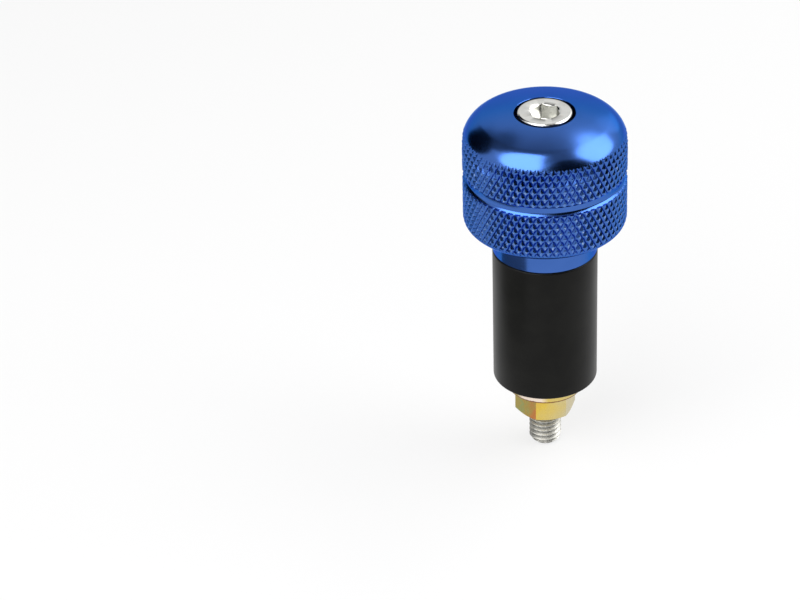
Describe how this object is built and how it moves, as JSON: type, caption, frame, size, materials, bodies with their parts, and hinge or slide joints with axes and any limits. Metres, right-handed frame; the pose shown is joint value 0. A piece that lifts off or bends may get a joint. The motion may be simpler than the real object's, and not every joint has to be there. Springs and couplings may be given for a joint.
{
  "type": "bar end weight",
  "caption": "Motorbike bar end weight: domed head with a diamond knurl, and a rubber sleeve that a screw and flange nut squeeze to grip inside the handlebar.",
  "frame": {"origin": "on the axis, in the plane of the shoulder that stops against the end of the handlebar", "axes": "+Z along the axis, from the handlebar out towards the dome; +X and +Y are free, and the nut's hexagon is turned as in the picture seen along +Y"},
  "size_m": [0.03, 0.03, 0.071],
  "materials": {
    "blue_anodised": "polished and anodised blue",
    "black_rubber": "satin extruded rubber",
    "bright_zinc": "bright zinc plated",
    "yellow_zinc": "yellow chromated zinc plated"
  },
  "bodies": {
    "weight": {"knurled_head": "blue_anodised", "expander_sleeve": "black_rubber"},
    "screw": {"socket_screw": "bright_zinc"},
    "nut": {"flange_nut": "yellow_zinc"}
  },
  "joints": [
    {"name": "screw_turn", "type": "hinge", "parent": "weight", "child": "screw", "pos_m": [0, 0, 0], "axis": [0, 0, -1], "range_deg": [0, 1080]},
    {"name": "nut_travel", "type": "slide", "parent": "weight", "child": "nut", "axis": [0, 0, 1], "range_m": [0, 0.003], "deforming": ["expander_sleeve"]}
  ],
  "couplings": [
    {"joint": "nut_travel", "follows": "screw_turn", "m_per_rad": 0.00015915}
  ]
}
